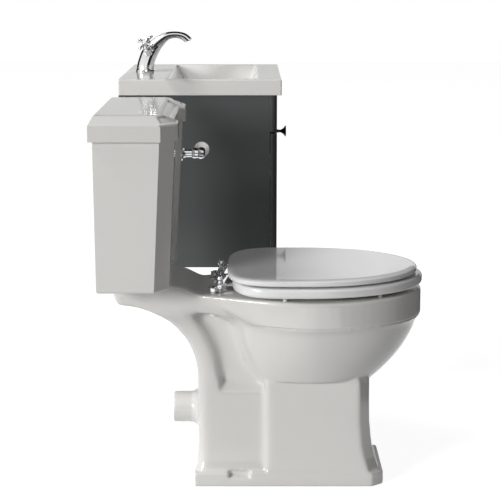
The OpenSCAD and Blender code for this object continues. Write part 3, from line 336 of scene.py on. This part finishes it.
def rounded(piece, width, segments=3, angle=22):
    """Softens every edge sharper than an angle and evens the shading."""
    apply(piece, "BEVEL", width=width, segments=segments, limit_method="ANGLE",
          angle_limit=math.radians(angle), miter_outer="MITER_ARC", use_clamp_overlap=True)
    smooth(piece)


def merged_copy(node, name):
    """A copy of a CAD node's mesh with its loose triangles joined and its flat faces whole."""
    piece = bpy.data.objects.new(name, nodes[node].data.copy())
    scene.collection.objects.link(piece)
    edit(piece)
    bpy.ops.mesh.select_all(action="SELECT")
    bpy.ops.mesh.remove_doubles(threshold=0.00002)
    bpy.ops.mesh.dissolve_limited(angle_limit=math.radians(0.6))
    bpy.ops.object.mode_set(mode="OBJECT")
    return piece


def close(piece):
    """Ends the edit with doubles merged and faces pointing outwards."""
    bpy.ops.mesh.select_all(action="SELECT")
    bpy.ops.mesh.remove_doubles(threshold=0.00001)
    bpy.ops.mesh.normals_make_consistent(inside=False)
    bpy.ops.object.mode_set(mode="OBJECT")


def turned(name, foot, axis, profile, sides=64):
    """A turned piece: a disc drawn out along its axis, and resized at each station of height and radius."""
    foot, axis = Vector(foot), Vector(axis).normalized()
    first, radius = profile[0]
    piece = disc(name, foot + axis * first, radius, sides, turn=axis.to_track_quat("Z", "Y").to_euler())
    edit(piece)
    choose_all("FACE")
    for (low, wide), (high, next_wide) in zip(profile, profile[1:]):
        push(*(axis * (high - low)))
        size = next_wide / wide
        bpy.ops.transform.resize(value=(size, size, size), center_override=foot + axis * high)
    close(piece)
    return piece


def dress(piece, body, slot, *replaced):
    """Gives a piece its finish and the body it rides on, and hides the nodes that it stands for."""
    piece.data.materials.clear()
    piece.data.materials.append(FINISHES[slot])
    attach(piece, body)
    if replaced:
        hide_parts(*replaced)


# Camera, light and floor
def make_camera():
    """A long lens a little above the object, looking down at it, with the frame shifted downwards."""
    tilt = math.radians(81.61)
    data = bpy.data.cameras.new("viewpoint")
    data.lens, data.sensor_width = 98.96, 36.0
    data.shift_y = -0.1744
    data.clip_start, data.clip_end = 0.05, 60.0
    camera = bpy.data.objects.new("viewpoint", data)
    camera.location = (-3.2729, 0.0251, 1.1206)
    camera.rotation_euler = (tilt, 0.0, math.radians(-90.0))
    scene.collection.objects.link(camera)
    scene.camera = camera


def lamp(name, place, aim, width, height, power, spread=180, mirrored=True):
    """A rectangular area light aimed at a point. Its spread is in degrees."""
    data = bpy.data.lights.new(name, "AREA")
    data.shape, data.size, data.size_y = "RECTANGLE", width, height
    data.energy, data.spread = power, math.radians(spread)
    light = bpy.data.objects.new(name, data)
    light.location = place
    light.rotation_euler = (Vector(aim) - Vector(place)).to_track_quat("-Z", "Y").to_euler()
    light.visible_camera, light.visible_glossy = False, mirrored
    scene.collection.objects.link(light)


def flag(name, low, high, glow=None):
    """A board that only reflections show: black, or with a glow that grows between two places across it."""
    board = block(name, low, high)
    finish = Finish(name, Base_Color=(0.02, 0.02, 0.02, 1), Emission_Strength=1.0 if glow else 0.0)
    if glow:
        dim_end, bright_end = glow
        grey, white = (0.6, 0.6, 0.6), (1, 1, 1)
        across = finish.add("ShaderNodeSeparateXYZ", inputs={"Vector": finish.place}, output="Y")
        sockets = {"Value": across, "From Min": dim_end, "From Max": bright_end}
        growth = finish.add("ShaderNodeMapRange", inputs=sockets)
        finish.feed(Emission_Color=finish.blend(growth, grey, white))
    board.data.materials.append(finish.material)
    board.visible_camera = board.visible_diffuse = board.visible_shadow = board.visible_transmission = False


def cutter(name, low, high):
    """A small board that only throws a shadow."""
    board = block(name, low, high)
    board.data.materials.append(Finish(name, Base_Color=(0.02, 0.02, 0.02, 1)).material)
    board.visible_camera = board.visible_diffuse = board.visible_glossy = board.visible_transmission = False


def make_world():
    """White where it is seen or mirrored, and a faint even light on everything."""
    world = bpy.data.worlds.new("studio")
    scene.world = world
    tree = Tree(world, "Background", Color=(1, 1, 1, 1))
    seen = tree.ray("Camera") + (tree.ray("Glossy") + tree.ray("Transmission"))
    sockets = {"Value": seen, "To Min": 0.17, "To Max": 1.0}
    tree.feed(Strength=tree.add("ShaderNodeMapRange", inputs=sockets))


def make_lamps():
    """A key light from the wall's side, a small one overhead, and two fills that reflections don't show."""
    lamp("key", place=(-11.24, 10.9, 4.37), aim=(-0.1, 0.0, 0.5), width=4.0, height=4.0, power=1620)
    lamp("overhead", place=(-0.98, 2.5, 3.66), aim=(-0.1, 0.1, 0.6), width=1.0, height=1.0, power=70)
    lamp("basin_fill", place=(-0.12, 0.16, 1.04), aim=(0.57, 0.10, 0.80), width=0.30, height=0.10,
         power=0.05, spread=50, mirrored=False)
    lamp("lever_fill", place=(-0.21, 0.10, 0.79), aim=(-0.1405, 0.136, 0.69), width=0.03, height=0.03,
         power=0.004, spread=40, mirrored=False)


def make_boards():
    """Black boards round the object, a glowing card behind it, and a cutter beside the mixer."""
    flag("flag_near", low=(-4.3, -5.0, -0.2), high=(-4.25, 1.1, 1.3))
    flag("flag_front", low=(-4.3, -3.2, -0.2), high=(3.6, -3.15, 2.6))
    flag("flag_far", low=(3.0, -3.2, -0.2), high=(3.05, -0.45, 0.7))
    flag("flag_above", low=(-1.8, -3.2, 3.6), high=(3.6, 1.4, 3.65))
    flag("flag_low", low=(-4.2, -3.1, 0.001), high=(3.5, -0.8, 0.003))
    flag("flag_wall", low=(0.4, 1.7, -0.2), high=(3.6, 1.75, 1.7))
    flag("flag_high", low=(3.2, -3.0, 1.36), high=(3.25, 3.0, 3.6))
    flag("card_back", low=(3.0, -0.6, 0.95), high=(3.05, 0.9, 1.34), glow=(-0.15, -0.6))
    cutter("basin_cutter", low=(-0.02, 0.25, 0.857), high=(0.25, 0.252, 0.93))


def make_floor():
    """A pale floor that glows where it is seen or mirrored, and keeps the object's shadow."""
    grey, glow = (0.5, 0.5, 0.5, 1), 0.88
    bpy.ops.object.select_all(action="DESELECT")
    bpy.ops.mesh.primitive_plane_add(size=24, location=(0, 0, 0))
    floor = settled("studio_floor")
    material = bpy.data.materials.new("pale_floor")
    tree = Tree(material, "Material Output")
    tree.nodes.remove(tree.nodes["Principled BSDF"])
    matt = tree.add("ShaderNodeBsdfDiffuse", inputs={"Color": grey})
    seen = tree.ray("Camera") + tree.ray("Glossy")
    light = tree.add("ShaderNodeEmission", inputs={"Strength": seen * glow})
    tree.feed(Surface=tree.add("ShaderNodeAddShader", inputs={0: matt, 1: light}))
    floor.data.materials.append(material)


# Toilet
ANY = (-1, 1)


def within(place, height=ANY, out=ANY, aside=ANY):
    """Whether a place on the pan, given by its height, out and aside, lies inside a zone."""
    at_height, at_out, at_aside = place
    return (height[0] < at_height < height[1] and out[0] < at_out < out[1]
            and aside[0] < at_aside < aside[1])


def faded(*sides):
    """A weight from nought to one. Each side of a zone gives its distance and the length of its fade."""
    return max(0.0, min(1.0, *(distance / length for distance, length in sides)))


# How far the pan's fillets are softened in each zone. Where zones overlap, the last one counts.
FILLETS = {
    "open surface": (1.0, {}),
    "upper edge of the pocket": (0.3, {"height": (0.222, 0.242), "out": (0.36, 0.56), "aside": (0.08, 1)}),
    "plinth": (0.25, {"height": (-1, 0.045)}),
    "outlet spigot": (0.3, {"height": (-1, 0.2), "out": (-1, 0.2)}),
    "top of the rim": (0.45, {"height": (0.412, 1)}),
    "foot of the front": (0.12, {"height": (-1, 0.1), "out": (0.572, 1), "aside": (-1, 0.075)}),
    "foot of the rim's band": (0.05, {"height": (0.356, 0.375), "out": (0.335, 1)}),
}


def fillet_weight(place):
    """How far the short smoothing acts: the weight of the last zone that holds the place."""
    return next(weight for weight, zone in reversed(FILLETS.values()) if within(place, **zone))


def sweep_weight(place):
    """How far the long smoothing acts: on the neck, and a quarter as far on the ridge beside the trap."""
    height, out, _ = place
    neck_foot, neck_top, neck_rear, neck_front, neck_aside = 0.232, 0.42, 0.18, 0.355, 0.045
    foot_fade, top_fade, front_fade = 0.02, 0.012, 0.03
    ridge_foot, ridge_top, ridge_rear, ridge_front, ridge_aside = 0.04, 0.215, 0.345, 0.395, 0.05
    ridge_fade, ridge_share = 0.02, 0.25
    if within(place, (neck_foot, neck_top), (neck_rear, neck_front), (neck_aside, 1)):
        return faded((height - neck_foot, foot_fade), (neck_top - height, top_fade),
                     (neck_front - out, front_fade))
    if within(place, (ridge_foot, ridge_top), (ridge_rear, ridge_front), (ridge_aside, 1)):
        return ridge_share * faded((ridge_top - height, ridge_fade), (height - ridge_foot, ridge_fade))
    return 0.0


def cut_groove(pan):
    """The thin groove at the foot of the rim's band, which starts shallow behind the bowl."""
    middle = Vector((TOILET_X, WALL - 0.47, 0.366))
    half_height, start, slope, depth = 0.0017, 0.335, 0.1, 0.0022
    outer = [(v, v.normal.copy()) for v in pan.data.vertices if abs(v.co.z - middle.z) < half_height
             and WALL - v.co.y > start and (v.co - middle).dot(v.normal) > 0]
    for v, normal in outer:
        v.co -= normal * min(depth, (WALL - v.co.y - start) * slope)


def make_pan():
    """The cast pan: the CAD form in one skin, with the soft fillets that the glaze gives it."""
    flank_half, flare_start, flare_run, flare = 0.095, 0.584, 0.026, 0.09
    under_belly = {"height": (0.214, 0.2325), "out": (0.365, 0.53), "aside": (0.0945, 1)}
    front_foot = {"height": (-1, 0.033), "out": (flare_start, 1)}
    pan = merged_copy("pan", "pan_casting")
    apply(pan, "REMESH", mode="VOXEL", voxel_size=0.0026, adaptivity=0.0)
    fillets = pan.vertex_groups.new(name="fillets")
    sweeps = pan.vertex_groups.new(name="sweeps")
    for v in pan.data.vertices:
        height, out, across = v.co.z, WALL - v.co.y, v.co.x - TOILET_X
        place = height, out, abs(across)
        if within(place, **under_belly):
            v.co.x = TOILET_X + math.copysign(flank_half, across)
        if within(place, **front_foot):
            v.co.x += across * flare * (out - flare_start) / flare_run
        fillets.add([v.index], fillet_weight(place), "REPLACE")
        sweeps.add([v.index], sweep_weight(place), "REPLACE")
    apply(pan, "SMOOTH", factor=0.5, iterations=200, vertex_group="sweeps")
    apply(pan, "SMOOTH", factor=0.5, iterations=34, vertex_group="fillets")
    cut_groove(pan)
    apply(pan, "DECIMATE", ratio=0.45)
    only(pan)
    bpy.ops.object.shade_smooth()
    dress(pan, "body", "ceramic", "pan")


def make_pocket_backs():
    """The ceramic behind the pocket of each floor screw."""
    screw_out, aside = 0.300, 0.079
    half_thick, half_wide, foot, top = 0.0052, 0.025, 0.010, 0.037
    for name, side in (("near", -1), ("far", 1)):
        middle = Vector((TOILET_X + side * aside, WALL - screw_out, 0.0))
        low = middle + Vector((-half_thick, -half_wide, foot))
        high = middle + Vector((half_thick, half_wide, top))
        dress(block("pocket_back_" + name, low, high), "body", "ceramic")


def ears(piece, half_top, half_foot, z_top, z_foot, recess, limit):
    """Cuts the front, which ends at a limit, between two ears, and sets the middle back."""
    step_run = 0.004
    for side in (-1, 1):
        for inner in (0.0, step_run):
            slope = Vector((side * (z_top - z_foot), 0, half_foot - half_top)).normalized()
            bpy.ops.mesh.select_all(action="SELECT")
            bpy.ops.mesh.bisect(plane_co=(TOILET_X + side * (half_top - inner), 0, z_top), plane_no=slope)

    def between(spot):
        share = (spot.at.z - z_foot) / (z_top - z_foot)
        half = half_foot - step_run / 2 + (half_top - half_foot) * share
        return spot.at.y < limit and abs(spot.at.x - TOILET_X) < half

    choose(piece, "VERT", between)
    bpy.ops.transform.translate(value=(0, recess, 0))


def make_cistern():
    """The tank, smaller at its foot, with cut corners and a middle set back between two ears."""
    (left, front, foot), (right, rear, top) = corners("cistern")
    half_foot, foot_setback, corner_cut = 0.185, 0.016, 0.029
    ear_top, ear_foot, recess = 0.133, 0.105, 0.011
    wall, hollow, hollow_width, hollow_depth = 0.011, 0.304, 0.875, 0.93
    tank = block("cistern_tank", (left, front, foot), (right, rear, top))
    edit(tank)
    choose(tank, "FACE", lambda spot: spot.way.z < -ALONG)
    narrowing = half_foot / (TOILET_X - left)
    bpy.ops.transform.resize(value=(narrowing, 1, 1), center_override=(TOILET_X, rear, foot))
    choose(tank, "EDGE", lambda spot: spot.at.z < foot + NEAR and spot.at.y < front + NEAR)
    bpy.ops.transform.translate(value=(0, foot_setback, 0))
    choose(tank, "EDGE", lambda spot: spot.at.y < front + foot_setback and abs(spot.way.z) > ALONG)
    bpy.ops.mesh.bevel(offset=corner_cut, segments=1, affect="EDGES")
    ears(tank, ear_top, ear_foot, top, foot, recess, limit=front + foot_setback + NEAR)
    choose(tank, "FACE", lambda spot: spot.way.z > ALONG)
    inset(wall)
    push(0, 0, -hollow)
    bpy.ops.transform.resize(
        value=(hollow_width, hollow_depth, 1), center_override=(TOILET_X, rear - wall, foot))
    choose(tank, "EDGE", lambda spot: spot.at.z < foot + NEAR and spot.fold > CREASE)
    bpy.ops.mesh.bevel(offset=0.006, segments=3, affect="EDGES")
    close(tank)
    rounded(tank, width=0.003)
    dress(tank, "body", "ceramic", "cistern")


def make_cistern_lid():
    """The lid: an upright skirt, a moulded bevel with nested frames in its front slope, and a flat top."""
    (left, front, seat), (right, rear, _) = corners("cistern_lid")
    skirt, corner_cut, ear, recess = 0.033, 0.033, 0.138, 0.011
    slope, lip = (0.033, 0.0157), (0.003, 0.0008)
    rear_share = 0.24
    rim, hollow = 0.021, 0.034
    frames = ((0.0045, 0.0), (0.0018, -0.0016), (0.003, 0.0), (0.0018, 0.0014))
    alike, ahead = 0.012, 0.25
    top = seat + skirt
    lid = block("cistern_cover", (left, front, seat), (right, rear, top))
    edit(lid)
    choose(lid, "EDGE", lambda spot: spot.at.y < front + NEAR and abs(spot.way.z) > ALONG)
    bpy.ops.mesh.bevel(offset=corner_cut, segments=1, affect="EDGES")
    ears(lid, ear, ear, top, seat, recess, limit=front + NEAR)
    level = top
    for run, rise in (slope, lip):
        choose(lid, "FACE", lambda spot: spot.way.z > ALONG and spot.at.z > level - NEAR / 2)
        inset(run, rise)
        level += rise
        choose(lid, "VERT", lambda spot: spot.at.z > level - NEAR / 4 and spot.at.y > rear - run - NEAR / 2)
        bpy.ops.transform.translate(value=(0, run * (1 - rear_share), 0))
        rear -= run * rear_share
    choose(lid, "FACE", lambda spot: spot.way.z < -ALONG)
    inset(rim)
    push(0, 0, hollow)
    choose(lid, "EDGE", lambda spot: abs(spot.at.z - top) < NEAR and spot.at.y < front + corner_cut
           and spot.fold > CREASE and abs(spot.way.z) < 1 - ALONG)
    bpy.ops.mesh.bevel(offset=0.0045, segments=4, affect="EDGES")
    close(lid)
    rounded(lid, width=0.002)
    edit(lid)
    steep = slope[0] / math.hypot(*slope)
    choose(lid, "FACE", lambda spot: spot.at.z > top + 3 * NEAR and abs(spot.way.z - steep) < alike
           and spot.way.y < -ahead)
    for thickness, depth in frames:
        inset(thickness, depth=depth)
    bpy.ops.object.mode_set(mode="OBJECT")
    smooth(lid)
    dress(lid, "cistern_lid", "ceramic", "cistern_lid")


# Distance from the wall to the seat's widest line
WIDEST = 0.442


def oval(piece, half, front, rear, squareness=1.9):
    """Draws a circle round the widest line out to the seat's outline: round ahead, and squarer behind."""
    wide = WALL - WIDEST
    for v in bmesh.from_edit_mesh(piece.data).verts:
        turn = math.atan2(v.co.y - wide, v.co.x - TOILET_X)
        aside, back = math.cos(turn), math.sin(turn)
        if back < 0:
            v.co.x = TOILET_X + half * aside
            v.co.y = wide + (front - WIDEST) * back
        else:
            v.co.x = TOILET_X + half * math.copysign(abs(aside) ** (1 / squareness), aside)
            v.co.y = wide + (WIDEST - rear) * back ** (1 / squareness)
    bmesh.update_edit_mesh(piece.data)


def make_seat_ring():
    """The ring: an oval with an egg-shaped opening, drawn up to its thickness."""
    (left, front, foot), (_, _, top) = corners("seat_ring")
    rear_out, opening_out, opening_half = 0.2835, 0.470, 0.109
    opening_front, opening_rear = 0.147, 0.123
    ring = disc("seat_ring_board", (TOILET_X, WALL - WIDEST, foot), radius=0.17, fill="NOTHING")
    edit(ring)
    oval(ring, TOILET_X - left, WALL - front, rear_out)
    middle = Vector((TOILET_X, WALL - opening_out, foot))
    bpy.ops.mesh.primitive_circle_add(vertices=128, radius=opening_half, location=middle)

    def opening(spot):
        return (spot.at - middle).length < opening_half + NEAR / 2

    choose(ring, "VERT", lambda spot: opening(spot) and spot.at.y < middle.y - NEAR / 10)
    bpy.ops.transform.resize(value=(1, opening_front / opening_half, 1), center_override=middle)
    choose(ring, "VERT", lambda spot: opening(spot) and spot.at.y > middle.y + NEAR / 10)
    bpy.ops.transform.resize(value=(1, opening_rear / opening_half, 1), center_override=middle)
    choose_all("EDGE")
    bpy.ops.mesh.bridge_edge_loops()
    bpy.ops.mesh.select_all(action="SELECT")
    push(0, 0, top - foot)
    close(ring)
    rounded(ring, width=0.0068, segments=5)
    dress(ring, "seat", "seat_paint", "seat_ring")


def make_seat_lid():
    """The seat's lid: a board that widens a little upwards, with a rounded upper edge."""
    (_, _, foot), _ = corners("seat_lid")
    half, front_out, rear_out = 0.1715, 0.6815, 0.2755
    flare_rise, flare_x, flare_y, flare_out, edge = 0.0025, 1.012, 1.008, 0.478, 0.006
    shoulders = ((0.0012, 0.0018), (0.0024, 0.0014), (0.0045, 0.0009), (0.008, 0.0004))
    cover = disc("seat_cover_board", (TOILET_X, WALL - WIDEST, foot), radius=0.17)
    edit(cover)
    oval(cover, half, front_out, rear_out)
    choose_all("FACE")
    push(0, 0, flare_rise)
    bpy.ops.transform.resize(
        value=(flare_x, flare_y, 1), center_override=(TOILET_X, WALL - flare_out, foot))
    push(0, 0, edge)
    for run, rise in shoulders:
        inset(run, rise)
    close(cover)
    smooth(cover, angle=60)
    dress(cover, "lid", "seat_paint", "seat_lid")


def make_lever_ball():
    """The ceramic ball at the end of the flush lever, cut flat where the arm meets it."""
    spindle_x, _, spindle_z = next(
        joint["pos_m"] for joint in frame["joints"] if joint["name"] == "lever_turn")
    arm_out, reach, radius, flat = 0.21121, 0.062, 0.018, 0.01612
    centre = Vector((spindle_x, WALL - arm_out, spindle_z)) + Vector((reach, 0, 0))
    bpy.ops.object.select_all(action="DESELECT")
    bpy.ops.mesh.primitive_uv_sphere_add(
        segments=64, ring_count=32, radius=radius, location=centre, rotation=(0, math.pi / 2, 0))
    ball = settled("lever_ball_glazed")
    edit(ball)
    bpy.ops.mesh.select_all(action="SELECT")
    bpy.ops.mesh.bisect(
        plane_co=centre - Vector((flat, 0, 0)), plane_no=(1, 0, 0), clear_inner=True, use_fill=True)
    close(ball)
    smooth(ball)
    dress(ball, "lever", "ceramic", "lever_ball")


# Vanity
def make_basin():
    """The basin: the CAD form in one skin with softened edges."""
    basin = merged_copy("basin", "basin_casting")
    rounded(basin, width=0.0022, angle=30)
    dress(basin, "body", "ceramic", "basin")


def eased(piece, low, high):
    """Rounds the outer front corners of the cabinet's front."""
    edit(piece)
    choose(piece, "EDGE", lambda spot: abs(spot.way.z) > ALONG and spot.at.y < low.y + NEAR
           and min(spot.at.x - low.x, high.x - spot.at.x) < NEAR)
    bpy.ops.mesh.bevel(offset=0.0135, segments=8, profile=0.5, affect="EDGES")
    close(piece)


def board(node, name, body="body", width=0.0008, front=False):
    """A board of the cabinet in its node's place, with its edges softened over a width."""
    low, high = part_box(node)
    piece = block(name, low, high)
    if front:
        eased(piece, low, high)
    rounded(piece, width, segments=2)
    dress(piece, body, "cabinet_paint", node)


def make_door_frame():
    """The frame of the door, cut through inside its stiles."""
    stile, width, nearly = 0.062, 0.0012, 0.8
    low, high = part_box("door_frame")
    margin = Vector((stile, 0, stile)) * nearly
    inner_low, inner_high = low + margin, high - margin
    door = block("door_frame_shaker", low, high)
    edit(door)
    choose(door, "FACE", lambda spot: abs(spot.way.y) > ALONG)
    inset(stile)
    bpy.ops.mesh.delete(type="ONLY_FACE")
    choose(door, "EDGE", lambda spot: inner_low.x < spot.at.x < inner_high.x
           and inner_low.z < spot.at.z < inner_high.z)
    bpy.ops.mesh.bridge_edge_loops()
    close(door)
    eased(door, low, high)
    rounded(door, width, segments=2)
    dress(door, "door", "cabinet_paint", "door_frame")


def make_cabinet():
    """The cabinet's boards and its door."""
    board("cabinet_left_side", "left_side_board")
    board("cabinet_right_side", "right_side_board")
    board("cabinet_base", "base_board")
    board("fascia", "fascia_board", width=0.0012, front=True)
    make_door_frame()
    board("door_panel", "door_panel_board", "door")


def make_knob():
    """The turned knob: a screw end behind the door, a rose, a waist and a flared head."""
    screw = ((-0.0165, 0.0045), (-0.0145, 0.0045), (-0.0144, 0.002), (0.0, 0.002))
    rose = ((0.0001, 0.0098), (0.002, 0.0092), (0.004, 0.0078), (0.006, 0.0066))
    waist = ((0.0085, 0.0054), (0.011, 0.0046), (0.016, 0.0038), (0.019, 0.0042), (0.0215, 0.0052))
    flare = ((0.0235, 0.0064), (0.0258, 0.0082), (0.0275, 0.010), (0.0292, 0.0124), (0.030, 0.0139))
    head = ((0.0308, 0.015), (0.0316, 0.0155), (0.0328, 0.0152), (0.0336, 0.0144))
    crown = ((0.034, 0.0112), (0.0341, 0.002))
    low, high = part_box("door_knob")
    (_, door_face, _), _ = corners("door_frame")
    foot = ((low.x + high.x) / 2, door_face, (low.z + high.z) / 2)
    knob = turned("door_knob_turned", foot, (0, -1, 0), screw + rose + waist + flare + head + crown)
    smooth(knob, angle=35)
    dress(knob, "door", "knob_paint", "door_knob")


make_camera()
make_world()
make_lamps()
make_boards()
make_floor()
make_pan()
make_pocket_backs()
make_cistern()
make_cistern_lid()
make_seat_ring()
make_seat_lid()
make_lever_ball()
make_basin()
make_cabinet()
make_knob()
for name, node in nodes.items():
    node.data.materials.clear()
    node.data.materials.append(FINISHES[SLOT_OF[name]])

scene.view_settings.view_transform = "Standard"
